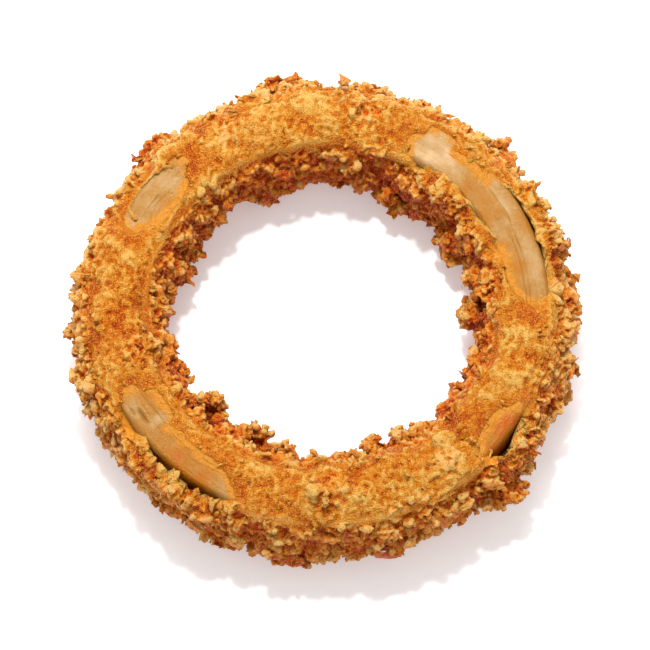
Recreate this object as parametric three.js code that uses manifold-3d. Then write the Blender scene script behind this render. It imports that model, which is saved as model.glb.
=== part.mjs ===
// A breaded and fried onion ring, lying flat. Two concentric layers of onion run all the way round inside a
// craggy crumb crust, which has broken open along the top, so that the onion shows.
// Millimetres. +Z is up. The origin is on the table, below the middle of the box that just holds the ring.
import * as THREE from "three";
import { ImprovedNoise } from "three/addons/math/ImprovedNoise.js";
import { mergeVertices } from "three/addons/utils/BufferGeometryUtils.js";
import Module from "manifold-3d";

const wasm = await Module();
wasm.setup();
const noise = new ImprovedNoise();
const radians = THREE.MathUtils.degToRad;

// The ring's centreline is nearly a circle: OVAL and LOBE are how far its longest radii stand out.
const RING_RADIUS = 35.2;
const OVAL = { out: 0.55, angle: radians(6) };
const LOBE = { out: 0.15, angle: radians(-47) };

// The crust's section, before crumbs, is a superellipse. It is wider on one side, by WIDE, and at two
// opposite places, by WIDE_TWICE. Its foot is cut off by the table.
const CRUST_WIDTH = 17;
const WIDE = { out: 0.4, angle: radians(-65) };
const WIDE_TWICE = { out: 0.5, angle: radians(25) };
const CRUST_HEIGHT = 20.4;
const CRUST_POWER = 2.3;
const FOOT_CUT = 0.7;
const MIDDLE = CRUST_HEIGHT / 2 - FOOT_CUT;

// The crumbs stand out most on the sides, and the ridge and the foot are smoother.
const LUMP_PITCH = 6.5;
const LUMP_RELIEF = 0.9;
const CRUMB_PITCH = 3.1;
const CRUMB_RELIEF = 2.3;
const RIDGE_SHARE = 0.14;

// The onion, a slice of two layers, lies a little nearer to the front than the crust does, and higher.
const LAYER_THICKNESS = 4.25;
const ONION_HEIGHT = 16.4;
const ONION_POWER = 3.5;
const ONION_SHIFT = new THREE.Vector3(0.2, -0.6, 0.3);
const CLEARANCE = 0.3;

// The room for the onion has squarer corners than its layers have, and the crust is never thinner than
// CRUST_LEAST over it.
const CAVITY_POWER = 7;
const CRUST_LEAST = 0.8;
const COVER_POWER = 5;
const ROOM_HALF_WIDTH = LAYER_THICKNESS + 1.5 * CLEARANCE;
const ROOM_HALF_HEIGHT = ONION_HEIGHT / 2 + CLEARANCE;

// The block that cuts the foot flat.
const TABLE_SIDE = 200;
const TABLE_DEPTH = 20;

// How finely the rings are divided, round the ring and round the section.
const CRUST_STEPS = 130;
const CRUST_SIDES = 26;
const LAYER_STEPS = 60;
const LAYER_SIDES = 10;

// Where the crust is open over the onion: the angles in degrees that the break runs between, and its radii.
// BREAK_RAGGED is how far its edges wander, with a corner every BREAK_STEP degrees.
const BREAK_STEP = 2.5;
const BREAK_RAGGED = 0.5;
const BREAKS = [
  { from: 1, to: 36, inner: 34.2, outer: 40.2 },
  { from: 19, to: 50, inner: 31.2, outer: 35.2 },
  { from: 44, to: 59, inner: 31.2, outer: 34.4 },
  { from: 51, to: 60, inner: 31.3, outer: 37.0 },
  { from: 136, to: 156, inner: 33.4, outer: 38.9 },
  { from: 208, to: 220, inner: 34.6, outer: 39.5 },
  { from: 217, to: 244, inner: 36.2, outer: 40.9 },
  { from: 316, to: 329, inner: 37.8, outer: 42.0 },
];

// Clumps of crumb that swell out of the crust. Each has its angle round the ring in degrees, how far its
// middle lies outside the centreline and above the middle plane, its length round the ring, width and rise.
const CRAGS = [
  { angle: 2, out: -8.8, up: -1.5, length: 9.5, width: 6, rise: 3.6 },
  { angle: 33, out: -8.3, up: -3, length: 9, width: 6, rise: 2.4 },
  { angle: 60, out: -8.2, up: -3.5, length: 11, width: 6, rise: 2.4 },
  { angle: 76, out: -8.2, up: -3.5, length: 4, width: 5, rise: 1.2 },
  { angle: 98, out: -8.4, up: -3, length: 6, width: 5, rise: 1 },
  { angle: 110, out: -8.2, up: -3.5, length: 9, width: 6, rise: 1.8 },
  { angle: 157, out: -8.5, up: -2.5, length: 9, width: 6, rise: 2.2 },
  { angle: 190, out: -8.8, up: 0, length: 6, width: 6, rise: 1.2 },
  { angle: 201, out: -8.8, up: 1, length: 5, width: 5, rise: 2.2 },
  { angle: 222, out: -8.8, up: 1.5, length: 10, width: 5.5, rise: 3.4 },
  { angle: 242, out: -8.8, up: 2, length: 9.5, width: 5.5, rise: 3.8 },
  { angle: 257, out: -8.8, up: 2, length: 5, width: 5, rise: 1.8 },
  { angle: 272, out: -8.8, up: 2, length: 6, width: 5, rise: 1.6 },
  { angle: 291, out: -8.8, up: 2, length: 9, width: 5.5, rise: 3.2 },
  { angle: 302, out: -8.8, up: 1, length: 5, width: 5, rise: 1.6 },
  { angle: 323, out: -8.8, up: 1, length: 9, width: 6, rise: 1 },
  { angle: 342, out: -8.8, up: 0, length: 6, width: 6, rise: 1.6 },
  { angle: 272, out: -3.2, up: 9.2, length: 7, width: 6, rise: 1.2 },
  { angle: 191, out: -1.2, up: 9.8, length: 7, width: 6, rise: 1 },
  { angle: 22, out: 6.6, up: 7.2, length: 14, width: 4.5, rise: 1.6 },
  { angle: 232, out: 6.8, up: 7, length: 15, width: 4.5, rise: 1.8 },
  { angle: 322, out: 8, up: 5, length: 10, width: 5, rise: 1.6 },
  { angle: 38, out: -6, up: 8, length: 16, width: 4, rise: 1.6 },
  { angle: 93, out: 4.5, up: 9, length: 6, width: 6, rise: 0.8 },
  { angle: 263, out: 8.8, up: -1.5, length: 7, width: 7, rise: 1 },
  { angle: 285, out: 8.8, up: -2, length: 5, width: 6, rise: 0.8 },
];

// Flakes of crumb that stick out. Each has its angle and place as above, its length, width and thickness, and
// the tilt of its outer edge in degrees.
const FLAKES = [
  { angle: 43, out: 9.2, up: 2, size: [7, 3.6, 1.6], tilt: 15 },
  { angle: 100, out: 9.2, up: 2.5, size: [11, 4.4, 1.8], tilt: 20 },
  { angle: 134, out: 8.8, up: 3, size: [10, 4, 1.6], tilt: 35 },
  { angle: 196, out: 8, up: 5, size: [5, 3.6, 1.4], tilt: -40 },
  { angle: 315, out: 9.8, up: 0.5, size: [7.5, 4.6, 2], tilt: -10 },
  { angle: 347, out: 9.2, up: 1, size: [4.5, 3.4, 1.4], tilt: -20 },
  { angle: 103, out: -7, up: 3, size: [8, 3, 1.5], tilt: 50 },
  { angle: 149, out: -7.2, up: 4, size: [8.5, 2.6, 1.4], tilt: 30 },
  { angle: 309, out: -1.6, up: 9.6, size: [6, 5, 1.3], tilt: -10 },
];
const FLAKE_DETAIL = 1;
const FLAKE_ROUGHNESS = 0.24;

// Hollows left where the crumbs curled away.
const HOLLOWS = [
  { angle: 3, out: -8.6, up: 2.4, radius: 2.2 },
  { angle: 61, out: -7.6, up: -0.6, radius: 2 },
  { angle: 223, out: -7.6, up: 4.6, radius: 2.1 },
  { angle: 245, out: -7.9, up: 4.8, radius: 1.9 },
  { angle: 314, out: -1, up: 10.6, radius: 1.8 },
];

const SEED = 11;

function centreline(angle) {
  return (
    RING_RADIUS +
    OVAL.out * Math.cos(2 * (angle - OVAL.angle)) +
    LOBE.out * Math.cos(3 * (angle - LOBE.angle))
  );
}

function crustWidth(angle) {
  return (
    CRUST_WIDTH +
    WIDE.out * Math.cos(angle - WIDE.angle) +
    WIDE_TWICE.out * Math.cos(2 * (angle - WIDE_TWICE.angle))
  );
}

// The point at an angle round the ring, `out` beyond the centreline and `up` above the middle plane.
function onRing(angle, out, up) {
  const radius = centreline(angle) + out;
  return new THREE.Vector3(radius * Math.cos(angle), radius * Math.sin(angle), MIDDLE + up);
}

// The point of a superellipse in the direction `turn`, counted from outward through up.
function superellipse(turn, width, height, power) {
  const share = (value) => Math.sign(value) * (Math.round(Math.abs(value) * 1e5) / 1e5) ** (2 / power);
  return { out: (width / 2) * share(Math.cos(turn)), up: (height / 2) * share(Math.sin(turn)) };
}

// A point of the section, moved outward where it must be, so that the crust has its least thickness there.
function overOnion(angle, { out, up }) {
  const beyond = out - ONION_SHIFT.x * Math.cos(angle) - ONION_SHIFT.y * Math.sin(angle);
  const above = up - ONION_SHIFT.z;
  const wide = Math.abs(beyond) / (ROOM_HALF_WIDTH + CRUST_LEAST);
  const high = Math.abs(above) / (ROOM_HALF_HEIGHT + CRUST_LEAST);
  const level = wide ** COVER_POWER + high ** COVER_POWER;
  const growth = Math.max(level ** (-1 / COVER_POWER), 1) - 1;
  return { out: out + growth * beyond, up: up + growth * above };
}

// A torus geometry whose every point is moved to place(angle, turn).
function ringGeometry(steps, sides, place) {
  const geometry = new THREE.TorusGeometry(2, 1, sides, steps);
  const position = geometry.getAttribute("position");
  for (let i = 0; i < position.count; i++) {
    const [x, y, z] = [position.getX(i), position.getY(i), position.getZ(i)];
    const point = place(Math.atan2(y, x), Math.atan2(z, Math.hypot(x, y) - 2));
    position.setXYZ(i, point.x, point.y, point.z);
  }
  return geometry;
}

// A closed geometry as a solid that can be joined and cut.
function solidOf(geometry) {
  const bare = geometry.clone();
  bare.deleteAttribute("normal");
  bare.deleteAttribute("uv");
  const merged = mergeVertices(bare, 1e-3);
  return new wasm.Manifold(
    new wasm.Mesh({
      numProp: 3,
      vertProperties: new Float32Array(merged.getAttribute("position").array),
      triVerts: new Uint32Array(merged.index.array),
    }),
  );
}

function geometryOf(solid) {
  const { vertProperties, triVerts } = solid.getMesh();
  const geometry = new THREE.BufferGeometry();
  geometry.setAttribute("position", new THREE.BufferAttribute(vertProperties, 3));
  geometry.setIndex(new THREE.BufferAttribute(triVerts, 1));
  geometry.computeVertexNormals();
  return geometry;
}

// The largest body of a solid, without the scraps that a cut has left loose.
function largestBody(solid) {
  const byVolume = solid.decompose().sort((a, b) => b.volume() - a.volume());
  return byVolume[0];
}

function noiseAt(point, pitch, seed = 0) {
  return noise.noise(point.x / pitch + seed, point.y / pitch, point.z / pitch);
}

// How far the clumps of crumb stand out at a point of the skin.
function cragRise(angle, { out, up }) {
  const rises = CRAGS.map((crag) => {
    const turn = angle - radians(crag.angle);
    const along = 2 * RING_RADIUS * Math.abs(Math.sin(turn / 2));
    const across = Math.hypot(out - crag.out, up - crag.up);
    const far = (2 * along) / crag.length;
    const wide = (2 * across) / crag.width;
    return crag.rise * Math.exp(-(far ** 4) - wide ** 2);
  });
  return Math.max(...rises);
}

// The crust's outer skin, as lumpy as its batter and, on the sides, as rough as its crumbs.
function crustSkin() {
  const place = (angle, turn) => {
    const section = superellipse(turn, crustWidth(angle), CRUST_HEIGHT, CRUST_POWER);
    const smooth = onRing(angle, section.out, section.up);
    const crumbs = RIDGE_SHARE + (1 - RIDGE_SHARE) * Math.cos(turn) ** 2;
    const lumps = LUMP_RELIEF * noiseAt(smooth, LUMP_PITCH);
    const rough = CRUMB_RELIEF * crumbs * noiseAt(smooth, CRUMB_PITCH, SEED);
    const relief = lumps + rough + cragRise(angle, section);
    const skin = { out: section.out + relief * Math.cos(turn), up: section.up + relief * Math.sin(turn) };
    const covered = overOnion(angle, skin);
    return onRing(angle, covered.out, covered.up);
  };
  return solidOf(ringGeometry(CRUST_STEPS, CRUST_SIDES, place));
}

// Moves a small geometry, whose x runs along the ring, y outward and z up, to its place on the ring.
function seat(geometry, { angle, out, up, tilt = 0 }) {
  const along = radians(angle);
  geometry.rotateX(radians(tilt));
  geometry.rotateZ(along - Math.PI / 2);
  return geometry.translate(...onRing(along, out, up));
}

function flake({ size, ...place }) {
  const geometry = new THREE.IcosahedronGeometry(0.5, FLAKE_DETAIL);
  const position = geometry.getAttribute("position");
  const point = new THREE.Vector3();
  for (let i = 0; i < position.count; i++) {
    point.fromBufferAttribute(position, i).multiply(new THREE.Vector3(...size));
    point.multiplyScalar(1 + 2 * FLAKE_ROUGHNESS * noiseAt(point, CRUMB_PITCH, place.angle));
    position.setXYZ(i, point.x, point.y, point.z);
  }
  return solidOf(seat(geometry, place));
}

function hollow({ radius, ...place }) {
  return solidOf(seat(new THREE.IcosahedronGeometry(radius, FLAKE_DETAIL), place));
}

// The tool that opens the crust over the onion: a ragged strip along the ring, down to half the onion's rise.
function breakTool({ from, to, inner, outer }) {
  const middle = (inner + outer) / 2;
  const steps = Math.ceil((to - from) / BREAK_STEP);
  const edge = (share, side) => {
    const angle = radians(THREE.MathUtils.lerp(from, to, share));
    const taper = (1 - (2 * share - 1) ** 4) ** 0.5;
    const ragged = BREAK_RAGGED * noise.noise(share * steps, side * SEED, from) * Math.sign(taper);
    const radius = middle + side * (taper * (outer - inner) / 2 + ragged);
    return new THREE.Vector2(radius * Math.cos(angle), radius * Math.sin(angle));
  };
  const outline = [];
  for (let i = 0; i <= steps; i++) outline.push(edge(i / steps, 1));
  for (let i = steps - 1; i > 0; i--) outline.push(edge(i / steps, -1));
  const depth = CRUST_HEIGHT;
  const strip = new THREE.ExtrudeGeometry(new THREE.Shape(outline), { depth, bevelEnabled: false });
  return solidOf(strip.translate(0, 0, MIDDLE + ONION_HEIGHT / 4));
}

// A ring of onion, or the room for it, from one radius to another.
function onionSolid(inner, outer, height, power) {
  const middle = (inner + outer) / 2 - RING_RADIUS;
  const place = (angle, turn) => {
    const { out, up } = superellipse(turn, outer - inner, height, power);
    return onRing(angle, middle + out, up).add(ONION_SHIFT);
  };
  return solidOf(ringGeometry(LAYER_STEPS, LAYER_SIDES, place));
}

function layerSolid(inner) {
  return onionSolid(inner, inner + LAYER_THICKNESS, ONION_HEIGHT, ONION_POWER);
}

// The room that the onion takes up in the crust.
function cavitySolid() {
  const [inner, outer] = [RING_RADIUS - ROOM_HALF_WIDTH, RING_RADIUS + ROOM_HALF_WIDTH];
  return onionSolid(inner, outer, 2 * ROOM_HALF_HEIGHT, CAVITY_POWER);
}

function crustSolid() {
  const whole = wasm.Manifold.union([crustSkin(), ...FLAKES.map(flake)]);
  const table = new THREE.BoxGeometry(TABLE_SIDE, TABLE_SIDE, TABLE_DEPTH).translate(0, 0, -TABLE_DEPTH / 2);
  const cuts = [solidOf(table), cavitySolid(), ...BREAKS.map(breakTool), ...HOLLOWS.map(hollow)];
  return largestBody(whole.subtract(wasm.Manifold.union(cuts)));
}

function piece(name, solid, color, roughness) {
  const mesh = new THREE.Mesh(
    geometryOf(solid),
    new THREE.MeshStandardMaterial({ color, roughness, metalness: 0 }),
  );
  mesh.name = name;
  return mesh;
}

const outerLayer = layerSolid(RING_RADIUS + CLEARANCE / 2);
const innerLayer = layerSolid(RING_RADIUS - CLEARANCE / 2 - LAYER_THICKNESS);
const onionRing = new THREE.Group();
onionRing.add(piece("crust", crustSolid(), 0xc8843a, 0.6));
onionRing.add(piece("onion_outer_layer", outerLayer, 0xddb07a, 0.35));
onionRing.add(piece("onion_inner_layer", innerLayer, 0xd9a877, 0.35));

// The bottom centre of the box that just holds the ring is the origin.
const box = new THREE.Box3().setFromObject(onionRing);
const centre = box.getCenter(new THREE.Vector3());
for (const { geometry } of onionRing.children) geometry.translate(-centre.x, -centre.y, -box.min.z);

export default onionRing;
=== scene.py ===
# A breaded and fried onion ring on a pale floor, dressed over its CAD frame.
# The crust is remeshed with clumps of crumb fused into it. Loose crumbs of several kinds are scattered over
# it, and the two onion layers show through its breaks. Sizes are in millimetres until a mesh is made.
import math

import bmesh
import bpy
import numpy as np
from mathutils import Matrix, Vector, kdtree, noise
from mathutils.bvhtree import BVHTree


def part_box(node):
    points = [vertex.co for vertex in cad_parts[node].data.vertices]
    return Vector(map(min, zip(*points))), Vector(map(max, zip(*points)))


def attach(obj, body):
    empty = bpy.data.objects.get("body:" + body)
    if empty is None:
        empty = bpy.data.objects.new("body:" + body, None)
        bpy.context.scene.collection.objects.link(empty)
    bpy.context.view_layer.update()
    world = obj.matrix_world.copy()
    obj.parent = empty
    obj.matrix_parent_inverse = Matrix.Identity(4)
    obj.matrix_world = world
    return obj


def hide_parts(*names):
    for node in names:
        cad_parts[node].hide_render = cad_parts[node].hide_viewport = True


MM = 0.001
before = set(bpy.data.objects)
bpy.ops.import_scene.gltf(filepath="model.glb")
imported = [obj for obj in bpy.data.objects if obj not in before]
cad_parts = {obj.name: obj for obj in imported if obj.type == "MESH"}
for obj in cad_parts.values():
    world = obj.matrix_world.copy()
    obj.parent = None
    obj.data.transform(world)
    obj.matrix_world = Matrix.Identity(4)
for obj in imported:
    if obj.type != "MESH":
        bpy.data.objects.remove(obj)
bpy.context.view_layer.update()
rng = np.random.default_rng(5)

# The ring, as the CAD model has it: its centreline is nearly a circle, and each angle here is in degrees.
RING_RADIUS = 35.2
OVAL = {"out": 0.55, "angle": 6}
LOBE = {"out": 0.15, "angle": -47}
CRUST_WIDTH = 17
CRUST_HEIGHT = 20.4
ONION_HALF_WIDTH = 4.4
ONION_HALF_HEIGHT = 8.2
ONION_SHIFT = Vector((0.2, -0.6, 0.3))
FLOOR_CLEARANCE = 0.02

# Where the crust is open over the onion: angles from and to, and radii. On the side named in "gap" the crust
# stands clear of the onion, and elsewhere its edge thins out into a film that clings to the onion.
BREAKS = [
    {"from": 1, "to": 36, "inner": 34.2, "outer": 40.2, "gap": "outer"},
    {"from": 19, "to": 50, "inner": 31.2, "outer": 35.2, "gap": "inner"},
    {"from": 44, "to": 59, "inner": 31.2, "outer": 34.4, "gap": "inner"},
    {"from": 51, "to": 60, "inner": 31.3, "outer": 37.0, "gap": ""},
    {"from": 136, "to": 156, "inner": 33.4, "outer": 38.9, "gap": "outer"},
    {"from": 208, "to": 220, "inner": 34.6, "outer": 39.5, "gap": ""},
    {"from": 217, "to": 244, "inner": 36.2, "outer": 40.9, "gap": "outer"},
    {"from": 316, "to": 329, "inner": 37.8, "outer": 42.0, "gap": "outer"},
]


def ring_centre():
    low, high = (Vector(corner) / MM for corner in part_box("onion_outer_layer"))
    return (low + high) / 2 - ONION_SHIFT


CENTRE = ring_centre()

# The camera: where the ring's centre is in the 650-pixel picture, its scale, and how steeply it looks down.
PICTURE_SIDE = 650
PIXELS_PER_MM = 5.638
RING_PIXEL = (323, 317.5)
ELEVATION = math.radians(72.3)
CAMERA_DISTANCE = 480
SENSOR = 36


def camera():
    """The camera, moved sideways so that the ring's centre is where it belongs in the picture."""
    up = Vector((0, math.sin(ELEVATION), math.cos(ELEVATION)))
    back = Vector((0, -math.cos(ELEVATION), math.sin(ELEVATION)))
    right = (PICTURE_SIDE / 2 - RING_PIXEL[0]) / PIXELS_PER_MM
    down = (PICTURE_SIDE / 2 - RING_PIXEL[1]) / PIXELS_PER_MM
    data = bpy.data.cameras.new("camera")
    data.sensor_width = SENSOR
    data.lens = SENSOR * CAMERA_DISTANCE / (PICTURE_SIDE / PIXELS_PER_MM)
    data.clip_start = 0.01
    seer = bpy.data.objects.new("camera", data)
    place = CENTRE + Vector((right, 0, 0)) - up * down + back * CAMERA_DISTANCE
    seer.matrix_world = Matrix.Translation(place * MM) @ back.to_track_quat("Z", "Y").to_matrix().to_4x4()
    bpy.context.scene.collection.objects.link(seer)
    bpy.context.scene.camera = seer


# The lamps: a large one high behind the ring, and a small one whose glints reach the camera from the ridge.
LAMPS = {
    "overhead": {"place": (-40, 360, 560), "size": 330, "power": 3.1},
    "highlight": {"place": (-30, 140, 420), "size": 28, "power": 1.1},
}
SKY_STRENGTH = 0.7
FLOOR_SIDE = 6000
FLOOR_WHITE = 0.93
FLOOR_GLOW = 0.25


def area_light(name, place, size, power):
    data = bpy.data.lights.new(name, "AREA")
    data.size = size * MM
    data.energy = power
    lamp = bpy.data.objects.new(name, data)
    lamp.location = Vector(place) * MM
    lamp.rotation_euler = (CENTRE * MM - lamp.location).to_track_quat("-Z", "Y").to_euler()
    bpy.context.scene.collection.objects.link(lamp)


def studio():
    for name, lamp in LAMPS.items():
        area_light(name, **lamp)
    scene = bpy.context.scene
    scene.view_settings.view_transform = "Standard"
    scene.world = bpy.data.worlds.new("studio")
    scene.world.use_nodes = True
    background = scene.world.node_tree.nodes["Background"]
    background.inputs["Color"].default_value = (1, 1, 1, 1)
    background.inputs["Strength"].default_value = SKY_STRENGTH


def floor():
    """A white floor that glows a little, as a light table does, which keeps the shadow pale."""
    mesh = bpy.data.meshes.new("floor")
    half = FLOOR_SIDE / 2 * MM
    corners = [(-half, -half, 0), (half, -half, 0), (half, half, 0), (-half, half, 0)]
    mesh.from_pydata(corners, [], [(0, 1, 2, 3)])
    material = bpy.data.materials.new("floor")
    material.use_nodes = True
    shader = material.node_tree.nodes["Principled BSDF"]
    shader.inputs["Base Color"].default_value = (FLOOR_WHITE, FLOOR_WHITE, FLOOR_WHITE, 1)
    shader.inputs["Roughness"].default_value = 0.9
    shader.inputs["Emission Color"].default_value = (1, 1, 1, 1)
    shader.inputs["Emission Strength"].default_value = FLOOR_GLOW
    mesh.materials.append(material)
    ground = bpy.data.objects.new("floor", mesh)
    bpy.context.scene.collection.objects.link(ground)


# Meshes


def mesh_arrays(mesh):
    """The vertices (in millimetres) and triangles of a mesh, as arrays."""
    mesh.calc_loop_triangles()
    points = np.empty(len(mesh.vertices) * 3)
    mesh.vertices.foreach_get("co", points)
    triangles = np.empty(len(mesh.loop_triangles) * 3, dtype=np.int32)
    mesh.loop_triangles.foreach_get("vertices", triangles)
    return points.reshape(-1, 3) / MM, triangles.reshape(-1, 3)


def mesh_of(name, points, triangles):
    """A mesh from points in millimetres and triangles."""
    mesh = bpy.data.meshes.new(name)
    mesh.from_pydata((points * MM).tolist(), [], triangles.tolist())
    mesh.update()
    return mesh


def object_of(name, mesh):
    piece = bpy.data.objects.new(name, mesh)
    bpy.context.scene.collection.objects.link(piece)
    return piece


def with_modifiers(piece, *modifiers):
    """The arrays of a piece's mesh once these modifiers, each (kind, settings), are applied to it."""
    for number, (kind, settings) in enumerate(modifiers):
        modifier = piece.modifiers.new(f"step_{number}", kind)
        for key, value in settings.items():
            setattr(modifier, key, value)
    evaluated = piece.evaluated_get(bpy.context.evaluated_depsgraph_get())
    result = bpy.data.meshes.new_from_object(evaluated)
    arrays = mesh_arrays(result)
    bpy.data.meshes.remove(result)
    mesh = piece.data
    bpy.data.objects.remove(piece)
    bpy.data.meshes.remove(mesh)
    return arrays


def normals_of(points, triangles):
    """The normal at each point, from the triangles round it."""
    a, b, c = (points[triangles[:, k]] for k in range(3))
    faces = np.cross(b - a, c - a)
    normals = np.zeros_like(points)
    for k in range(3):
        for axis in range(3):
            normals[:, axis] += np.bincount(triangles[:, k], faces[:, axis], len(points))
    return normals / np.maximum(np.linalg.norm(normals, axis=1, keepdims=True), 1e-12)


def smoothed(points, triangles, rounds, share=0.5):
    """The points after rounds of moving each one towards the mean of its neighbours."""
    ends = np.concatenate([triangles[:, [0, 1]], triangles[:, [1, 2]], triangles[:, [2, 0]]])
    ends = np.concatenate([ends, ends[:, ::-1]])
    count = np.bincount(ends[:, 0], minlength=len(points))[:, None]
    result = points.copy()
    for _ in range(rounds):
        sums = [np.bincount(ends[:, 0], result[ends[:, 1], axis], len(points)) for axis in range(3)]
        result += share * (np.stack(sums, axis=1) / np.maximum(count, 1) - result)
    return result


def noise_at(points, pitch, seed=0):
    """Smooth noise between about -1 and 1, with lumps as far apart as pitch."""
    scaled = (points / pitch + seed * 17.3).tolist()
    return np.array([noise.noise(point) for point in scaled]) * 1.6


def section_of(points, shift=(0, 0, 0)):
    """Each point's angle round the ring in degrees, and how far outside and above the centreline it lies."""
    local = points - np.array(CENTRE) - np.array(shift)
    turn = np.arctan2(local[:, 1], local[:, 0])
    radius = RING_RADIUS
    for wave, times in ((OVAL, 2), (LOBE, 3)):
        radius = radius + wave["out"] * np.cos(times * (turn - math.radians(wave["angle"])))
    return np.degrees(turn) % 360, np.hypot(local[:, 0], local[:, 1]) - radius, local[:, 2]


def slope_share(points, low, high):
    """1 on the sides and below, falling to 0 on top between two angles above the level of the middle."""
    _, out, up = section_of(points)
    slope = np.degrees(np.arctan2(up / CRUST_HEIGHT, np.abs(out) / CRUST_WIDTH))
    ragged = 9 * noise_at(points, 6, 9) + 5 * noise_at(points, 2.4, 19)
    return 1 - smooth_step(slope + ragged, low, high)


# Crumbs cover the sides, up to between these angles, and these patches on the ridge: (angle, radius) as the
# camera sees them, and size. The ridge is RIDGE_UP above the middle plane.
CRUMBS_FROM = 38
CRUMBS_TO = 62
RIDGE_UP = 9
PATCH_SHARE = 0.85
RIDGE_PATCHES = [
    (272, 31, 3.8),
    (191, 33, 3.6),
    (117, 38, 2.6),
    (79, 39, 3.6),
    (52, 36, 2.0),
    (309, 33, 3.2),
    (228, 33, 2.4),
    (297, 38, 3.0),
    (165, 36, 1.8),
    (255, 37, 2.0),
    (290, 38.5, 3.2),
    (318, 37.5, 2.2),
]


def steepness(points):
    """0 on the smooth batter of the ridge, 1 where crumbs cover it."""
    steep = slope_share(points, CRUMBS_FROM, CRUMBS_TO)
    ragged = 0.8 * noise_at(points, 1.8, 16)
    for angle, radius, size in RIDGE_PATCHES:
        distance = np.linalg.norm(points - seen_at(angle, radius, RIDGE_UP), axis=1) + ragged
        steep = np.maximum(steep, PATCH_SHARE * (1 - smooth_step(distance / size, 0.5, 1.2)))
    return steep


def seen_at(angle, radius, up):
    """The place at a height above the middle plane that the camera sees at an angle and radius."""
    turn = math.radians(angle)
    forward = up / math.tan(ELEVATION)
    return np.array(CENTRE) + (radius * math.cos(turn), radius * math.sin(turn) - forward, up)


def smooth_step(value, low, high):
    """0 below low and 1 above high, with an even curve between them."""
    share = np.clip((value - low) / (high - low), 0, 1)
    return share * share * (3 - 2 * share)


SIDES = {"outer": 1, "inner": -1}


def break_distance(points):
    """How far each point lies outside the nearest break, whether the crust clings, and which side it is on.

    The distance is less than 0 inside the break. The second is 1 where the crust clings to the onion there
    and 0 where it stands clear of it. The third is 1 outside the break's middle line and -1 inside it.
    """
    local = points - np.array(CENTRE)
    angle = np.degrees(np.arctan2(local[:, 1], local[:, 0])) % 360
    radius = np.hypot(local[:, 0], local[:, 1])
    nearest = np.full(len(points), 99.0)
    clings = np.zeros(len(points))
    side = np.zeros(len(points))
    for gap in BREAKS:
        middle = (gap["inner"] + gap["outer"]) / 2
        along = (angle - (gap["from"] + gap["to"]) / 2 + 180) % 360 - 180
        share = np.abs(along) / ((gap["to"] - gap["from"]) / 2)
        half = (gap["outer"] - gap["inner"]) / 2 * np.sqrt(1 - np.minimum(share, 1) ** 4)
        beyond = np.maximum(share - 1, 0) * math.radians(gap["to"] - gap["from"]) / 2 * radius
        across = np.abs(radius - middle) - half
        within = np.where(share < 1, np.minimum(across, 0), 0)
        distance = np.hypot(beyond, np.maximum(across, 0)) + within
        outward = np.where(radius > middle, 1, -1)
        standing = (outward == SIDES.get(gap["gap"])) * (1 - smooth_step(share, 0.8, 1.1))
        closer = distance < nearest
        nearest = np.where(closer, distance, nearest)
        clings = np.where(closer, 1 - standing, clings)
        side = np.where(closer, outward, side)
    return nearest, clings, side


# Crumbs


def crumb_shapes(count, detail, thickness=0.8, cuts=6, roughness=0.07):
    """Knobbly lumps of about unit radius, cut flat by random planes, and how far each point stands out."""
    ball = bmesh.new()
    bmesh.ops.create_icosphere(ball, subdivisions=detail, radius=MM)
    mesh = bpy.data.meshes.new("ball")
    ball.to_mesh(mesh)
    ball.free()
    points, triangles = mesh_arrays(mesh)
    bpy.data.meshes.remove(mesh)
    shapes = []
    heights = []
    for number in range(count):
        knobs = 0.4 * noise_at(points, 0.75, number) + 0.3 * noise_at(points, 0.38, number)
        knobs += roughness * rng.normal(size=len(points))
        shape = points * (1 + knobs)[:, None]
        for _ in range(cuts):
            plane = rng.normal(size=3)
            plane /= np.linalg.norm(plane)
            beyond = np.maximum(shape @ plane - rng.uniform(0.25, 0.8), 0)
            shape -= beyond[:, None] * plane
        shape *= rng.uniform(0.8, 1.45, 3) * (1, 1, thickness)
        shapes.append(shape)
        heights.append(knobs)
    return np.stack(shapes), np.stack(heights), triangles


def turned(normals, lean):
    """Rotation matrices whose z is along the normals, leaning by up to lean, at a random turn."""
    z = normals + lean * rng.normal(size=normals.shape)
    z /= np.linalg.norm(z, axis=1, keepdims=True)
    x = np.cross(z, rng.normal(size=normals.shape))
    x /= np.linalg.norm(x, axis=1, keepdims=True)
    return np.stack([x, np.cross(z, x), z], axis=2)


def scattered(shapes, heights, triangles, places, normals, radii, lean):
    """One shape at each place as joined arrays, each point's height on its crumb, and its crumb's number."""
    turns = turned(normals, lean)
    choice = rng.integers(len(shapes), size=len(places))
    stack = shapes[choice]
    points = np.einsum("nij,nvj->nvi", turns, stack) * radii[:, None, None] + places[:, None, :]
    count = stack.shape[1]
    faces = triangles[None] + count * np.arange(len(places))[:, None, None]
    owner = np.repeat(np.arange(len(places)), count)
    return points.reshape(-1, 3), faces.reshape(-1, 3), heights[choice].reshape(-1), owner


def surface_places(points, triangles, density, count):
    """Random places on a surface, as close as density says at each triangle's middle, and their normals."""
    a, b, c = (points[triangles[:, k]] for k in range(3))
    cross = np.cross(b - a, c - a)
    area = np.linalg.norm(cross, axis=1)
    weight = area * density((a + b + c) / 3)
    picked = rng.choice(len(triangles), size=count, p=weight / weight.sum())
    u, v = rng.random((2, count))
    inside = np.where(u + v > 1, 1, 0)
    u, v = np.abs(inside - u)[:, None], np.abs(inside - v)[:, None]
    places = a[picked] * (1 - u - v) + b[picked] * u + c[picked] * v
    return places, cross[picked] / area[picked][:, None]


# The crust

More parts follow.
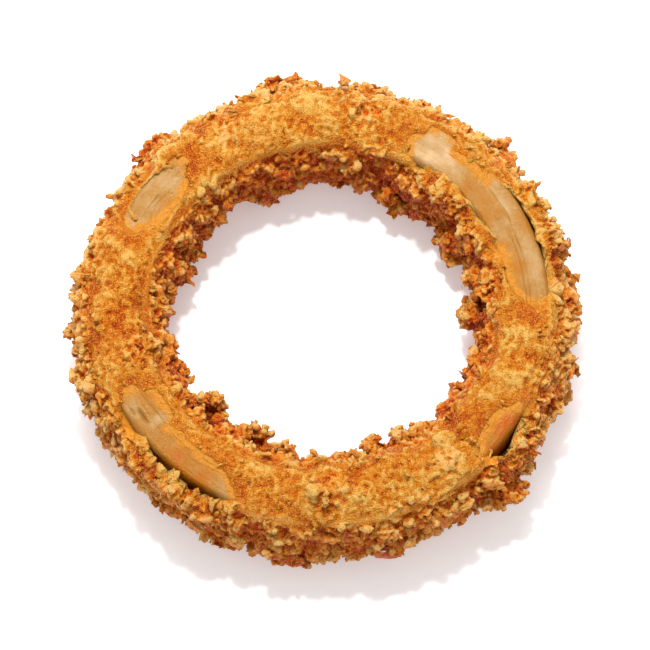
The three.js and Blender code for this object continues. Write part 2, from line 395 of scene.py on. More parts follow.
# The clumps and shards that are fused into the skin, and the grid and triangles of the mesh that they make.
# Their radii come from a gamma distribution, given by its shape and scale, and are kept between two limits.
CLUMPS = 3600
SHARDS = 1300
CLUMP_FORM = {"thickness": 0.8, "lean": 0.6}
SHARD_FORM = {"thickness": 0.35, "lean": 1.0}
FUSED_SHAPES = 40
FUSED_GAMMA = (4, 0.17)
FUSED_LIMITS = (0.35, 1.9)
VOXEL = 0.27
CRUST_TRIANGLES = 440000

# How far the walls of the onion's room may lie from the onion, across and up.
ROOM_ACROSS = 0.6
ROOM_UP = 0.55

# How far the skin is drawn in to leave room for the crumbs, on the sides and, beyond that, in the hole, up to
# between two angles, and how far it rises on the ridge.
SIDE_DRAWN = 0.85
INNER_DRAWN = 0.35
DRAWN_FROM = 32
DRAWN_TO = 66
RIDGE_RISE = 0.1
FARTHEST_WALL = 6.0

# The bare onion rises by BARE_RISE. Round it the crust comes down to BARE_LEVEL, its clinging edges dive by
# FEATHER, and its standing edges move in by GAP_CLOSED.
BARE_RISE = 0.85
BARE_LEVEL = CENTRE.z + ONION_SHIFT.z + ONION_HALF_HEIGHT + BARE_RISE + 0.05
FEATHER = 1.2
GAP_CLOSED = 0.6
HIDDEN = "hidden"


def outside_onion(points):
    """1 on the crust's outer skin, and 0 on the walls of the room for the onion."""
    _, out, up = section_of(points, ONION_SHIFT)
    return 1.0 - ((np.abs(out) < ONION_HALF_WIDTH + ROOM_ACROSS) & (np.abs(up) < ONION_HALF_HEIGHT + ROOM_UP))


RIM_DISTANCE = 1.9
RIM_CLUMPS = 0.35
RIDGE_CLUMPS = 0.14


def rimming(points):
    """1 along the edges of the breaks, falling to 0 a little way from them."""
    distance, _, _ = break_distance(points)
    near = 1 - smooth_step(np.abs(distance - RIM_DISTANCE), 0.3, 1.3)
    return near * smooth_step(section_of(points)[2], 6, 8)


def clump_density(middles):
    """How close together the clumps are: close on the sides, sparse on the ridge, some along the breaks."""
    steep = steepness(middles)
    patchy = 0.45 + 0.55 * smooth_step(noise_at(middles, 6, 3), -0.6, 0.5)
    low = smooth_step(middles[:, 2], 0.6, 1.6)
    return outside_onion(middles) * low * (RIDGE_CLUMPS + steep * patchy + RIM_CLUMPS * rimming(middles))


def welded(name):
    """The arrays of a CAD node's mesh, with the corners that its faces share made one."""
    points, triangles = mesh_arrays(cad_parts[name].data)
    piece = object_of(name + "_welded", mesh_of(name + "_welded", points, triangles))
    return with_modifiers(piece, ("WELD", {"merge_threshold": 0.002 * MM}))


def drawing(points):
    """How far the skin is drawn in: most on the inner side, and less than nothing on the ridge."""
    steep = slope_share(points, DRAWN_FROM, DRAWN_TO)
    inner = smooth_step(-section_of(points)[1], 2, 6)
    return steep * (SIDE_DRAWN + INNER_DRAWN * inner) - (1 - steep) * RIDGE_RISE


def drawn_in(points, triangles):
    """The crust with its outer skin drawn in, which leaves room for the crumbs."""
    normals = normals_of(points, triangles)
    tree = tree_of(points, triangles)
    hits = [tree.ray_cast(Vector(p - 0.01 * n), Vector(-n), FARTHEST_WALL) for p, n in zip(points, normals)]
    thickness = np.array([FARTHEST_WALL if hit[3] is None else hit[3] for hit in hits])
    depth = np.minimum(drawing(points), 0.3 * thickness) * outside_onion(points)
    return points - normals * depth[:, None]


def crust_arrays():
    """The crust's skin with clumps and shards fused in, and each clump's place and radius."""
    skin, faces = welded("crust")
    places, normals = surface_places(skin, faces, clump_density, CLUMPS + SHARDS)
    radii = rng.gamma(*FUSED_GAMMA, CLUMPS + SHARDS).clip(*FUSED_LIMITS)
    steep = steepness(places)
    radii *= 0.55 + 0.45 * steep
    edge = 4 * steep * (1 - steep)
    rise = radii * (0.35 * steep - 0.2) + 0.5 * edge - 0.1 * steep - drawing(places)
    lifted = places + normals * rise[:, None]
    parts = [(drawn_in(skin, faces), faces)]
    for chosen, form in ((slice(CLUMPS), CLUMP_FORM), (slice(CLUMPS, None), SHARD_FORM)):
        shapes = crumb_shapes(FUSED_SHAPES, 3, form["thickness"])
        made = scattered(*shapes, lifted[chosen], normals[chosen], radii[chosen], form["lean"])
        parts.append(made[:2])
    piece = object_of("crust_core", mesh_of("crust_core", *joined(parts)))
    remesh = ("REMESH", {"mode": "VOXEL", "voxel_size": VOXEL * MM, "adaptivity": 0})
    points, triangles = with_modifiers(piece, remesh)
    return points, triangles, lifted, radii


def joined(parts):
    """The points and triangles of several parts as one."""
    starts = np.cumsum([0] + [len(points) for points, _ in parts[:-1]])
    points = np.concatenate([points for points, _ in parts])
    triangles = np.concatenate([triangles + start for (_, triangles), start in zip(parts, starts)])
    return points, triangles


def ridged(points, pitch, seed=0):
    """Noise with sharp crests, between 0 and 1."""
    return 1 - np.abs(noise_at(points, pitch, seed)).clip(0, 1)


def roughened(points, triangles):
    """The skin with its sharp edges softened, its crags and grain raised, and its breaks finished.

    The batter swells in lumps 3.6 apart and the sides stand out in crags 4.2 apart. Crumbs 1.6 apart and two
    sizes of grain lie over both, and stand higher on the sides.
    """
    points = smoothed(points, triangles, 1)
    normals = normals_of(points, triangles)
    steep = steepness(points)
    lumps = noise_at(points, 3.6, 8)
    crags = ridged(points, 4.2, 4) - 0.6
    crumbs = ridged(points, 1.6, 1) - 0.6
    grains = noise_at(points, 0.95, 5)
    grain = noise_at(points, 0.55, 2)
    relief = 0.4 * (1 - steep) * lumps + 0.9 * steep * crags + (0.25 + 0.4 * steep) * crumbs
    relief += (0.18 + 0.1 * steep) * grains + (0.1 + 0.1 * steep) * grain
    return settled(points + normals * (relief * outside_onion(points))[:, None])


def settled(points):
    """The skin with ragged breaks, and brought down and in to the onion round them."""
    top = smooth_step(section_of(points)[2], 5, 7.5)
    distance, clings, side = break_distance(points)
    ragged = np.stack([noise_at(points, 1.6, seed) for seed in (11, 12)], axis=1)
    points[:, :2] += 0.45 * ragged * (top * (1 - smooth_step(distance, 1.0, 3.0)))[:, None]
    away = (points - np.array(CENTRE))[:, :2]
    away /= np.linalg.norm(away, axis=1, keepdims=True)
    closing = GAP_CLOSED * (1 - clings) * top * (1 - smooth_step(distance, 0.6, 2.8))
    points[:, :2] -= away * (side * closing)[:, None]
    over = np.maximum(points[:, 2] - BARE_LEVEL, 0)
    points[:, 2] -= 0.9 * over * clings * (1 - smooth_step(distance, 1.5, 7))
    points[:, 2] -= FEATHER * clings * top * (1 - smooth_step(distance, 0.1, 2.6))
    return points


def thinned(points, triangles, most):
    """Fewer triangles, taken most of all from the walls of the onion's room."""
    piece = object_of("thinned", mesh_of("thinned", points, triangles))
    group = piece.vertex_groups.new(name=HIDDEN)
    inside = outside_onion(points) == 0
    group.add(np.nonzero(inside)[0].tolist(), 1.0, "REPLACE")
    group.add(np.nonzero(~inside)[0].tolist(), 0.02, "REPLACE")
    settings = {
        "ratio": min(1.0, most / len(triangles)),
        "vertex_group": HIDDEN,
        "vertex_group_factor": 1.0,
    }
    return with_modifiers(piece, ("DECIMATE", settings))


def part_of(points, triangles, values, chosen):
    """The chosen triangles alone, with their points and values."""
    used, renumbered = np.unique(triangles[chosen], return_inverse=True)
    kept = {key: value[used] for key, value in values.items()}
    return points[used], renumbered.reshape(-1, 3), kept


def point_attribute(mesh, name, values):
    """Keeps a number, or a row of three, for each point."""
    values = np.asarray(values, dtype=np.float32)
    if values.ndim == 1:
        mesh.attributes.new(name, "FLOAT", "POINT").data.foreach_set("value", values)
    else:
        mesh.attributes.new(name, "FLOAT_VECTOR", "POINT").data.foreach_set("vector", values.ravel())


def nearest_values(points, places, values, reach):
    """The value of the nearest place, and how near it is: 1 at the place and 0 at its reach."""
    tree = kdtree.KDTree(len(places))
    for number, place in enumerate(places.tolist()):
        tree.insert(place, number)
    tree.balance()
    found = [tree.find(point) for point in points.tolist()]
    number = np.array([item[1] for item in found])
    distance = np.array([item[2] for item in found])
    return values[number], 1 - smooth_step(distance / reach[number], 0.6, 1.3)


def finish_piece(name, points, triangles, values, material, replaced, slot):
    """Makes a piece of the dressed part, which keeps its values as attributes for its material."""
    values = dict(values)
    normals = values.pop("normals", None)
    mesh = mesh_of(name, points, triangles)
    for key, value in values.items():
        point_attribute(mesh, key, value)
    mesh.materials.append(material)
    mesh.shade_smooth()
    if normals is not None:
        mesh.normals_split_custom_set_from_vertices(normals.tolist())
    piece = object_of(name, mesh)
    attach(piece, "root")
    if replaced:
        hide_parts(*replaced)
    return piece


def tree_of(points, triangles):
    return BVHTree.FromPolygons(points.tolist(), triangles.tolist())


def standing_out(tree, points):
    """How far each point lies outside the surface in the tree."""
    distances = []
    for point in points.tolist():
        place, normal, _, distance = tree.find_nearest(point)
        outside = (Vector(point) - place).dot(normal) > 0
        distances.append(distance if outside else -distance)
    return np.array(distances)


# Places that are paler or darker than the rest: (angle, radius) as the camera sees them, height above the
# middle, size, and change of tone.
TONES = [
    (339, 35, 9, 2.6, 0.3),
    (354, 33.5, 9, 2.6, 0.25),
    (92, 40, 9, 3, 0.25),
    (101, 39, 9, 2, 0.2),
    (309, 33, 9, 3, 0.25),
    (314, 33.5, 8, 1.4, -0.5),
    (272, 31, 9, 3.4, -0.15),
    (191, 33, 9, 3.2, -0.2),
    (165, 37, 9, 1.3, -0.5),
    (68, 38, 9, 1, -0.5),
    (116, 40, 8, 2, -0.2),
    (77, 40.5, 8, 2.6, -0.2),
    (51, 36, 9, 1.6, -0.3),
    # These four, low in the hole, darken its hollows with painted shade.
    (3, 27.5, 3, 2.4, -0.5),
    (61, 27, 1, 3.2, -0.4),
    (225, 27, 4.5, 2.4, -0.5),
    (246, 26.5, 4.5, 2.2, -0.4),
    (44, 44.6, 3, 2.6, -0.3),
    (100, 44.5, 3, 4, -0.15),
    (135, 44, 3, 3.6, -0.25),
    (315, 45.5, 1, 3, -0.3),
    (262, 45, -1, 4, -0.15),
    (180, 36, 9, 7, -0.12),
    (318, 37, 9, 7, -0.12),
    (225, 44, 2, 7, -0.08),
]


def tone_change(points):
    """How much paler, or darker when it is below 0, each point is for the places above."""
    change = np.zeros(len(points))
    for angle, radius, up, size, tone in TONES:
        distance = np.linalg.norm(points - seen_at(angle, radius, up), axis=1)
        change += tone * (1 - smooth_step(distance / size, 0.5, 1.4))
    return change


# Painted light and shade: crumbs that face the way the lamps shine from are painted paler, by the amount
# given, and those low in the hole darker.
PAINTED_LIGHT_FROM = (-0.1, 0.5, 0.85)
PAINTED_LIGHT_BY = 0.36
HOLE_PAINTED_SHADE = 0.16


def painted_light_and_shade(points, normals):
    """How much paler the crumbs are painted where they face up and back, towards the lamps, and how much
    darker low in the hole, as painted shade.
    """
    _, out, up = section_of(points)
    hole = smooth_step(-out, 3.5, 7) * (1 - smooth_step(up, 5, 8))
    facing = normals @ np.array(PAINTED_LIGHT_FROM)
    return PAINTED_LIGHT_BY * (facing - 0.55).clip(-0.9, 0.4) - HOLE_PAINTED_SHADE * hole


CLUMP_TONES = 0.16


def crust_values(points, triangles, places, radii, skin):
    """The crust's tone, from deep red at 0 to pale at 1, with painted light and shade in it, and where it is
    crumb and where a thin film.
    """
    tones = rng.normal(0, CLUMP_TONES, len(places))
    tone, near = nearest_values(points, places, tones, radii)
    even = smoothed(points, triangles, 10)
    fine = np.einsum("ij,ij->i", points - even, normals_of(even, triangles))
    deep = standing_out(skin, points)
    steep = steepness(points)
    mottle = 0.14 * noise_at(points, 5, 6) + 0.1 * noise_at(points, 1.9, 7) + 0.1 * noise_at(points, 1.0, 15)
    # Paler where the skin stands up and darker in hollows and below the CAD skin: partly browning and partly
    # painted shade.
    crumb = 0.5 + 0.18 * (fine / 0.15).clip(-1.6, 1.6) + 0.28 * (deep + 0.5).clip(-1.2, 0.9)
    crumb += 0.4 * near * tone
    film = 0.49 + 0.14 * (fine / 0.1).clip(-1.5, 1.5) + 0.45 * deep.clip(-0.6, 0.6)
    film += 0.5 * near * tone
    # The places listed above, and on the crumbs painted light and shade.
    changed = tone_change(points) + steep * painted_light_and_shade(points, normals_of(points, triangles))
    distance, clings, _ = break_distance(points)
    thin = clings * (1 - smooth_step(distance + 0.6 * noise_at(points, 1.5, 14), 0.6, 3.0))
    return {
        "normals": normals_of(points, triangles),
        "tone": np.clip(steep * crumb + (1 - steep) * film + mottle + changed, 0, 1),
        "steep": steep,
        "thin": thin * (section_of(points)[2] > 6),
    }


# Materials


def node(tree, kind, inputs=None, **settings):
    """A node, whose inputs are values or other nodes' outputs."""
    made = tree.nodes.new(kind)
    for key, value in settings.items():
        setattr(made, key, value)
    for key, value in (inputs or {}).items():
        if isinstance(value, bpy.types.NodeSocket):
            tree.links.new(value, made.inputs[key])
        else:
            made.inputs[key].default_value = value
    return made


def ramp(tree, factor, *stops):
    """A colour ramp, whose stops are (position, (red, green, blue))."""
    made = node(tree, "ShaderNodeValToRGB", {"Fac": factor})
    elements = made.color_ramp.elements
    while len(elements) < len(stops):
        elements.new(0.5)
    for element, (position, color) in zip(elements, stops):
        element.position = position
        element.color = (*color, 1)
    return made.outputs["Color"]


def attribute(tree, name):
    """The number that a piece keeps under this name."""
    return node(tree, "ShaderNodeAttribute", attribute_name=name).outputs["Fac"]


NOISE_ROUGHNESS = 0.6


def texture(tree, scale_mm, detail=2.0):
    """Noise with lumps as far apart as scale_mm."""
    place = node(tree, "ShaderNodeTexCoord").outputs["Object"]
    made = node(
        tree,
        "ShaderNodeTexNoise",
        {"Vector": place, "Scale": 1 / (scale_mm * MM), "Detail": detail, "Roughness": NOISE_ROUGHNESS},
    )
    return made.outputs["Fac"]


def math_node(tree, operation, first, second, clamp=False):
    made = node(tree, "ShaderNodeMath", {0: first, 1: second}, operation=operation, use_clamp=clamp)
    return made.outputs["Value"]


def mixed(tree, factor, first, second):
    """A mix of two colours. The node's sockets 6, 7 and 2 are its colours."""
    made = node(tree, "ShaderNodeMix", data_type="RGBA")
    sockets = (made.inputs["Factor"], made.inputs[6], made.inputs[7])
    for socket, value in zip(sockets, (factor, first, second)):
        if isinstance(value, bpy.types.NodeSocket):
            tree.links.new(value, socket)
        else:
            socket.default_value = value if isinstance(value, float) else (*value, 1)
    return made.outputs[2]


# The crust's grain, and its colours: its thin film at the breaks, and its painted glints, pale specks in the
# colour that stand in for glints of oil.
GRAIN_PITCH = 0.8
SPECK_PITCH = 0.3
GLINT_PITCH = 0.26
FILM_COLOR = (0.62, 0.25, 0.022)
PAINTED_GLINT_COLOR = (0.98, 0.62, 0.18)
FILM_SHARE = 0.7

# The batter that covers some of the onion round the breaks, where it is dark and where it is pale.
COVER_DARK = (0.42, 0.090, 0.001)
COVER_PALE = (0.74, 0.36, 0.04)


def crumb_material():
    """Fried crumb on the sides and smoother batter on the ridge, both deep red at tone 0 and pale at tone 1,
    with painted glints.
    """
    material = bpy.data.materials.new("crumb_crust")
    material.use_nodes = True
    tree = material.node_tree
    shader = tree.nodes["Principled BSDF"]
    grain = texture(tree, GRAIN_PITCH, 3)
    speck = texture(tree, SPECK_PITCH, 2)
    steep = attribute(tree, "steep")
    thin = attribute(tree, "thin")
    amount = math_node(tree, "SUBTRACT", 1.1, math_node(tree, "MULTIPLY", steep, 0.5))
    mottle = math_node(tree, "MULTIPLY", math_node(tree, "SUBTRACT", speck, 0.5), amount)
    mottle = math_node(tree, "ADD", mottle, math_node(tree, "MULTIPLY", grain, 0.3))
    tone = math_node(tree, "ADD", attribute(tree, "tone"), mottle)
    tone = math_node(tree, "SUBTRACT", tone, 0.15, clamp=True)
    crumbs = ramp(
        tree,
        tone,
        (0.0, (0.48, 0.022, 0.001)),
        (0.2, (0.68, 0.080, 0.001)),
        (0.45, (0.80, 0.200, 0.004)),
        (0.7, (0.88, 0.322, 0.032)),
        (1.0, (0.95, 0.55, 0.18)),
    )
    batter = ramp(
        tree,
        tone,
        (0.0, (0.44, 0.045, 0.001)),
        (0.3, (0.60, 0.135, 0.001)),
        (0.6, (0.72, 0.27, 0.018)),
        (1.0, (0.87, 0.52, 0.13)),
    )
    base = mixed(tree, steep, batter, crumbs)
    # Painted glints: pale specks mixed into the colour stand in for highlights on the oil.
    glints = texture(tree, GLINT_PITCH, 1)
    painted_glint_share = ramp(tree, glints, (0.52, (0.0, 0.0, 0.0)), (0.72, (0.55, 0.55, 0.55)))
    base = mixed(tree, painted_glint_share, base, PAINTED_GLINT_COLOR)
    base = mixed(tree, math_node(tree, "MULTIPLY", thin, FILM_SHARE), base, FILM_COLOR)
    tree.links.new(base, shader.inputs["Base Color"])
    shader.inputs["Subsurface Weight"].default_value = 0.55
    shader.inputs["Subsurface Radius"].default_value = (1.0, 0.65, 0.3)
    shader.inputs["Subsurface Scale"].default_value = 0.5 * MM
    shader.inputs["IOR"].default_value = 1.45
    shader.inputs["Specular IOR Level"].default_value = 0.45
    shader.inputs["Specular Tint"].default_value = (1.0, 0.75, 0.4, 1)
    dull = math_node(tree, "MULTIPLY", steep, 0.2)
    roughness = math_node(tree, "ADD", dull, math_node(tree, "MULTIPLY", speck, 0.26))
    tree.links.new(roughness, shader.inputs["Roughness"])
    bumps = math_node(tree, "ADD", grain, math_node(tree, "MULTIPLY", speck, 2.4))
    bumps = math_node(tree, "MULTIPLY", bumps, math_node(tree, "SUBTRACT", 1.0, thin))
    bump = node(tree, "ShaderNodeBump", {"Height": bumps, "Strength": 1.0, "Distance": 0.6 * MM})
    tree.links.new(bump.outputs["Normal"], shader.inputs["Normal"])
    return material


def onion_material():
    """Moist cooked onion, amber at pale 0 and cream at pale 1, with golden batter where cover is 1."""
    material = bpy.data.materials.new("cooked_onion")
    material.use_nodes = True
    tree = material.node_tree
    shader = tree.nodes["Principled BSDF"]
    cloud = texture(tree, 3.0, 2)
    grain = texture(tree, 0.4, 3)
    along = node(tree, "ShaderNodeAttribute", attribute_name="along").outputs["Vector"]
    fibre = node(tree, "ShaderNodeTexNoise", {"Vector": along, "Scale": 1.0}).outputs["Fac"]
    cloudy = math_node(tree, "ADD", cloud, math_node(tree, "MULTIPLY", fibre, 0.3))
    cloudy = math_node(tree, "MULTIPLY", math_node(tree, "SUBTRACT", cloudy, 0.65), 0.7)
    base = ramp(
        tree,
        math_node(tree, "ADD", attribute(tree, "pale"), cloudy, clamp=True),
        (0.0, (0.42, 0.085, 0.001)),
        (0.25, (0.37, 0.125, 0.004)),
        (0.5, (0.36, 0.160, 0.026)),
        (0.75, (0.44, 0.265, 0.110)),
        (1.0, (0.58, 0.38, 0.21)),
    )
    golden = mixed(tree, grain, COVER_DARK, COVER_PALE)
    base = mixed(tree, attribute(tree, "cover"), base, golden)
    tree.links.new(base, shader.inputs["Base Color"])
    shader.inputs["Subsurface Weight"].default_value = 0.5
    shader.inputs["Subsurface Radius"].default_value = (1.0, 0.7, 0.4)
    shader.inputs["Subsurface Scale"].default_value = 0.6 * MM
    shader.inputs["Specular IOR Level"].default_value = 0.4
    shader.inputs["Specular Tint"].default_value = (1.0, 0.8, 0.5, 1)
    shader.inputs["Roughness"].default_value = 0.14
    relief = math_node(tree, "MULTIPLY", grain, math_node(tree, "ADD", 1.1, attribute(tree, "cover")))
    relief = math_node(tree, "ADD", relief, math_node(tree, "MULTIPLY", fibre, 0.6))
    bump = node(tree, "ShaderNodeBump", {"Height": relief, "Strength": 0.9, "Distance": 0.25 * MM})
    tree.links.new(bump.outputs["Normal"], shader.inputs["Normal"])
    return material


# The onion

# How far outside the centreline the middle of each layer lies.
LAYERS = {"onion_outer_layer": 2.275, "onion_inner_layer": -2.275}
LAYER_HALF_WIDTH = 2.125

# A layer's section is round on its outer side and nearly square on the side towards the other layer.
ROUND_POWER = 3.5
SQUARE_POWER = 14
ONION_SIDES = 68

# The steps round the ring in degrees, at the breaks and elsewhere, and the pitch of the fibres that run
# round it.
FINE_STEP = 0.5
COARSE_STEP = 4
FIBRE_PITCH = (5.0, 0.5, 0.5)

# The thin skin in the groove between the layers: how far below their tops its middle is, and its half height.
MEMBRANE_BELOW = 0.35
MEMBRANE_HALF_HEIGHT = 0.33
MEMBRANE_SIDES = 24

# Splits in the onion: angle, radius, length, width and depth.
SPLITS = [
    (214, 37.3, 2.8, 0.5, 0.9),
    (211.5, 38.4, 1.4, 0.45, 0.6),
    (216, 35.3, 3.0, 0.5, 0.8),
]

# Places on the bare onion that are paler or darker: angle, radius, size and change of paleness.
PALES = [
    (55, 34, 4.5, 0.3),
    (12, 38, 7, -0.1),
    (52, 33, 5, 0.1),
    (146, 37, 6, 0.03),
    (232, 38, 6, -0.3),
    # The darkest, at 322 degrees, is partly amber film and partly painted shade.
    (322, 40, 6, -0.5),
]


OUTER_PALER = 0.05
INNER_PALER = -0.02


def near_break(angle):
    """Whether a break of the crust is at this angle or within 4 degrees of it."""

    def reaches(gap):
        away = abs((angle - (gap["from"] + gap["to"]) / 2 + 180) % 360 - 180)
        return away < (gap["to"] - gap["from"]) / 2 + 4

    return any(reaches(gap) for gap in BREAKS)


def ring_angles():
    """Angles in degrees round the ring, closer together where the crust is open."""
    angles = [0.0]
    while angles[-1] < 360 - COARSE_STEP:
        angles.append(angles[-1] + (FINE_STEP if near_break(angles[-1]) else COARSE_STEP))
    return np.array(angles)


def swept(across, up, angles):
    """The points and triangles of a section swept round the ring, their heights, and the fibres' places."""
    sides = len(across)
    turn = np.radians(np.repeat(angles, sides))
    across, up = np.tile(across, len(angles)), np.tile(up, len(angles))
    radius = RING_RADIUS + across
    for wave, times in ((OVAL, 2), (LOBE, 3)):
        radius = radius + wave["out"] * np.cos(times * (turn - math.radians(wave["angle"])))
    points = np.stack([radius * np.cos(turn), radius * np.sin(turn), up], axis=1)
    points += np.array(CENTRE) + np.array(ONION_SHIFT)
    rows = np.arange(len(points)).reshape(len(angles), sides)
    ahead, beside = np.roll(rows, -1, axis=0), np.roll(rows, -1, axis=1)
    both = np.roll(ahead, -1, axis=1)
    triangles = np.concatenate([
        np.stack([rows, ahead, both], axis=2).reshape(-1, 3),
        np.stack([rows, both, beside], axis=2).reshape(-1, 3),
    ])
    along = np.stack([turn * RING_RADIUS, radius, up], axis=1) / FIBRE_PITCH
    return points, triangles, up, along


def bare_share(points):
    """1 in and round the breaks of the crust, and 0 well under it."""
    return 1 - smooth_step(break_distance(points)[0], 2.2, 4.4)


def paleness(points, change=0.0):
    """How pale the onion is at each point."""
    flat = (points - np.array(CENTRE))[:, :2]
    pale = 0.5 + change + 0.15 * noise_at(points, 4, 22)
    for angle, radius, size, tone in PALES:
        turn = math.radians(angle)
        distance = np.linalg.norm(flat - (radius * math.cos(turn), radius * math.sin(turn)), axis=1)
        pale += tone * (1 - smooth_step(distance / size, 0.4, 1.3))
    return pale.clip(0, 1)


def covering(points):
    """How much of the golden batter still covers the onion at each point."""
    distance, clings, _ = break_distance(points)
    patchy = 0.6 * noise_at(points, 1.9, 27) + 0.35 * noise_at(points, 0.7, 28)
    return clings * smooth_step(distance + patchy, -0.2, 1.4)


def layer_section(out):
    """A section of a layer, square towards the other layer, with its points closest together on top."""
    turns = np.linspace(0, 2 * math.pi, 4000)
    facing = np.cos(turns) * out < 0
    power = 2 / np.where(facing, SQUARE_POWER, ROUND_POWER)
    across = out + LAYER_HALF_WIDTH * np.sign(np.cos(turns)) * np.abs(np.cos(turns)) ** power
    up = ONION_HALF_HEIGHT * np.sign(np.sin(turns)) * np.abs(np.sin(turns)) ** power
    steps = np.hypot(np.diff(across), np.diff(up)) * np.where(up[1:] > 6, 5, 1)
    reached = np.concatenate([[0], np.cumsum(steps)])
    wanted = np.linspace(0, reached[-1], ONION_SIDES, endpoint=False)
    return np.interp(wanted, reached, across), np.interp(wanted, reached, up)


def onion_layer(name, out, material):
    """A layer of onion, as the CAD model has it, but flatter on top and risen where the crust is open."""
    points, triangles, up, along = swept(*layer_section(out), ring_angles())
    bare = bare_share(points)
    cover = covering(points)
    top = smooth_step(up, 6, 8)
    rise = BARE_RISE + 0.15 * noise_at(points, 5, 21) + 0.03 * noise_at(along, 1, 23)
    rise += cover * (0.12 * noise_at(points, 1.4, 33) + 0.08 * noise_at(points, 0.7, 34))
    flat = points - np.array(CENTRE)
    for angle, radius, length, width, depth in SPLITS:
        turn = math.radians(angle)
        ahead = -flat[:, 0] * math.sin(turn) + flat[:, 1] * math.cos(turn)
        aside = flat[:, 0] * math.cos(turn) + flat[:, 1] * math.sin(turn) - radius
        rise = rise - depth * np.exp(-((2 * ahead / length) ** 4) - (2 * aside / width) ** 2)
    points[:, 2] += top * bare * rise
    change = OUTER_PALER if out > 0 else INNER_PALER
    values = {"pale": paleness(points, change), "cover": cover, "along": along}
    finish_piece(name + "_flesh", points, triangles, values, material, [name], "cooked_onion")


def membrane(material):
    """The thin skin that closes the groove between the two layers, and covers more of them in one place."""
    turns = np.linspace(0, 2 * math.pi, MEMBRANE_SIDES, endpoint=False)
    heights = ONION_HALF_HEIGHT - MEMBRANE_BELOW + MEMBRANE_HALF_HEIGHT * np.sin(turns)
    points, triangles, _, along = swept(np.cos(turns), heights, ring_angles())
    angle, out, _ = section_of(points, ONION_SHIFT)
    covers = smooth_step(angle, 25, 29) * (1 - smooth_step(angle, 41, 46))
    bare = bare_share(points)
    groove = 0.12 * (1 - smooth_step(angle, 22, 26))
    points[:, 2] += bare * (BARE_RISE + 0.1 * noise_at(points, 3, 25) + 0.2 * covers - groove)
    points[:, :2] += (points - np.array(CENTRE))[:, :2] * (covers * (0.6 * out - 0.6) / RING_RADIUS)[:, None]
    values = {"pale": paleness(points, -0.1 * covers), "cover": covering(points), "along": along}
    finish_piece("onion_membrane", points, triangles, values, material, [], "cooked_onion")


# Loose crumbs

# The kinds of loose crumb. "ridge" is how many there are on the ridge for each one on the sides, over the
# same area.
KINDS = {
    "coarse": {"count": 440, "detail": 3, "radius": 0.6, "thickness": 0.7, "lean": 0.6, "ridge": 0.09},
    "flake": {"count": 700, "detail": 2, "radius": 0.75, "thickness": 0.2, "lean": 0.9, "ridge": 0.12},
    "medium": {"count": 1400, "detail": 2, "radius": 0.4, "thickness": 0.7, "lean": 0.8, "ridge": 0.35},
    "fine": {"count": 5500, "detail": 1, "radius": 0.24, "thickness": 0.8, "lean": 0.8, "ridge": 0.9},
}


CRUMB_SHAPES = 30
# How much paler the knobs of a crumb are than its hollows: partly browning and partly painted light and
# shade.
TIPS_PALER = 0.45


def loose_crumbs(kind, skin, faces):
    """The points, triangles and values of the loose crumbs of one kind."""
    count = kind["count"]

    def density(middles):
        low = smooth_step(middles[:, 2], 0.8, 2.5)
        rims = 3 * kind["ridge"] * rimming(middles)
        return outside_onion(middles) * low * (kind["ridge"] + rims + steepness(middles))

    places, normals = surface_places(skin, faces, density, count)
    radii = kind["radius"] * rng.gamma(9, 1 / 9, count)
    lifted = places + normals * radii[:, None] * 0.15
    shapes = crumb_shapes(CRUMB_SHAPES, kind["detail"], kind["thickness"])
    points, triangles, heights, owner = scattered(*shapes, lifted, normals, radii, kind["lean"])
    points[:, 2] = np.maximum(points[:, 2], FLOOR_CLEARANCE)
    tones = rng.normal(0.55, 0.1, count) + 0.12 * noise_at(places, 5, 6) + tone_change(places)
    rise = np.einsum("ij,ij->i", points - lifted[owner], normals[owner]) / radii[owner]
    steep = steepness(places)
    # Painted light and shade: paler where the crumbs face the lamps, and darker low in the hole.
    painted_light_tone = painted_light_and_shade(points, normals_of(points, triangles))
    # Painted light: each crumb is paler on its side away from the skin. Its knobs are paler too, partly
    # browning and partly painted light and shade.
    tone = np.clip(tones[owner] + 0.1 * rise + TIPS_PALER * heights + painted_light_tone, 0, 1)
    return points, triangles, {"tone": tone, "steep": steep[owner], "thin": np.zeros(len(points))}


# Single flakes that stand out: (angle, radius) as the camera sees them, height above the middle, length,
# width, thickness, turn from the ring's direction and tilt outwards in degrees, and tone.
FLAKES = [
    (42.6, 44.8, 5, 6.0, 4.0, 1.1, 8, 15, 0.3),
    (98, 43.4, 3, 5.5, 3.8, 0.9, -15, 40, 0.42),
    (107, 42.6, 3, 5.0, 3.4, 0.9, 20, 35, 0.38),
    (134, 43.2, 3, 5.6, 3.0, 1.0, -10, 45, 0.3),
    (141, 42.8, 2, 4.6, 3.2, 1.0, 15, 40, 0.28),
    (195, 43.3, 4, 3.2, 2.4, 0.9, 20, 40, 0.8),
    (262, 44.6, -1, 6.4, 3.6, 1.4, 5, 60, 0.32),
    (285, 44.4, 0, 5.0, 3.0, 1.2, -10, 60, 0.36),
    (316.5, 45.2, 0, 6.4, 4.8, 1.8, 10, 25, 0.25),
    (347, 44.9, 3, 3.4, 2.6, 1.0, 0, 50, 0.6),
    (104, 27.6, 4, 5.0, 3.0, 0.9, 10, -50, 0.4),
    (149, 28.4, 5, 5.4, 2.6, 0.8, -15, -40, 0.75),
    (232, 26.8, 5, 3.8, 2.4, 0.8, 10, -30, 0.75),
    (309.5, 33.2, 9.6, 4.8, 3.4, 0.9, 30, 5, 0.72),
    (60, 44.4, 3, 4.0, 2.6, 0.9, 15, 45, 0.6),
    (330, 43.8, 4, 4.2, 2.4, 0.9, 10, 45, 0.62),
    (240, 44.0, 2, 4.6, 2.6, 0.9, -10, 50, 0.62),
    (170, 43.5, 4, 4.0, 2.8, 0.9, 15, 45, 0.66),
]


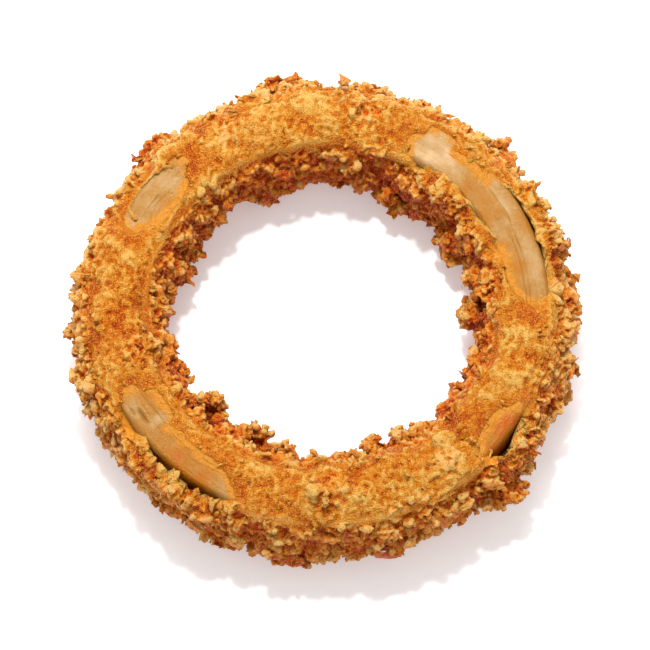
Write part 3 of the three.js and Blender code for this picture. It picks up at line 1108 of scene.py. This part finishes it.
def flakes():
    """The points, triangles and values of the single flakes."""
    shapes, heights, triangles = crumb_shapes(len(FLAKES), 4, 1, 9, 0)
    parts = []
    tones = []
    for shape, height, flake in zip(shapes, heights, FLAKES):
        angle, radius, up, length, width, thickness, heading, tilt, tone = flake
        shape = shape / np.abs(shape).max(axis=0) * (length / 2, width / 2, thickness / 2)
        shape[:, 2] -= 0.05 * shape[:, 0] ** 2 + 0.12 * shape[:, 1] ** 2
        shape += 0.1 * noise_at(shape, 0.8, 31)[:, None]
        round_ring = Matrix.Rotation(math.radians(angle + 90 + heading), 3, "Z")
        turn = round_ring @ Matrix.Rotation(math.radians(tilt), 3, "X")
        parts.append((shape @ np.array(turn).T + seen_at(angle, radius, up), triangles))
        tones.append(tone + TIPS_PALER * height)
    points, faces = joined(parts)
    tone = np.concatenate(tones) + 0.1 * noise_at(points, 1.2, 32)
    # Painted light and shade, as on the loose crumbs.
    tone += painted_light_and_shade(points, normals_of(points, faces))
    one = np.ones(len(points))
    return points, faces, {"tone": tone.clip(0, 1), "steep": one, "thin": 0 * one}


def build():
    """The studio and every piece, in the order that the random draws need."""
    camera()
    studio()
    floor()
    crumb = crumb_material()
    onion = onion_material()
    skin = tree_of(*mesh_arrays(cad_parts["crust"].data))
    points, triangles, places, radii = crust_arrays()
    points = roughened(points, triangles)
    points[:, 2] = np.maximum(points[:, 2], FLOOR_CLEARANCE)
    points, triangles = thinned(points, triangles, CRUST_TRIANGLES)
    values = crust_values(points, triangles, places, radii, skin)
    middles = points[triangles].mean(axis=1) - np.array(CENTRE)
    quarter = (np.degrees(np.arctan2(middles[:, 1], middles[:, 0])) % 360) // 90
    for number in range(4):
        part = part_of(points, triangles, values, quarter == number)
        finish_piece(f"crust_quarter_{number + 1}", *part, crumb, ["crust"], "crumb_crust")
    for name, kind in KINDS.items():
        finish_piece("crumbs_" + name, *loose_crumbs(kind, points, triangles), crumb, [], "crumb_crust")
    finish_piece("crumbs_single_flakes", *flakes(), crumb, [], "crumb_crust")
    for name, out in LAYERS.items():
        onion_layer(name, out, onion)
    membrane(onion)


build()
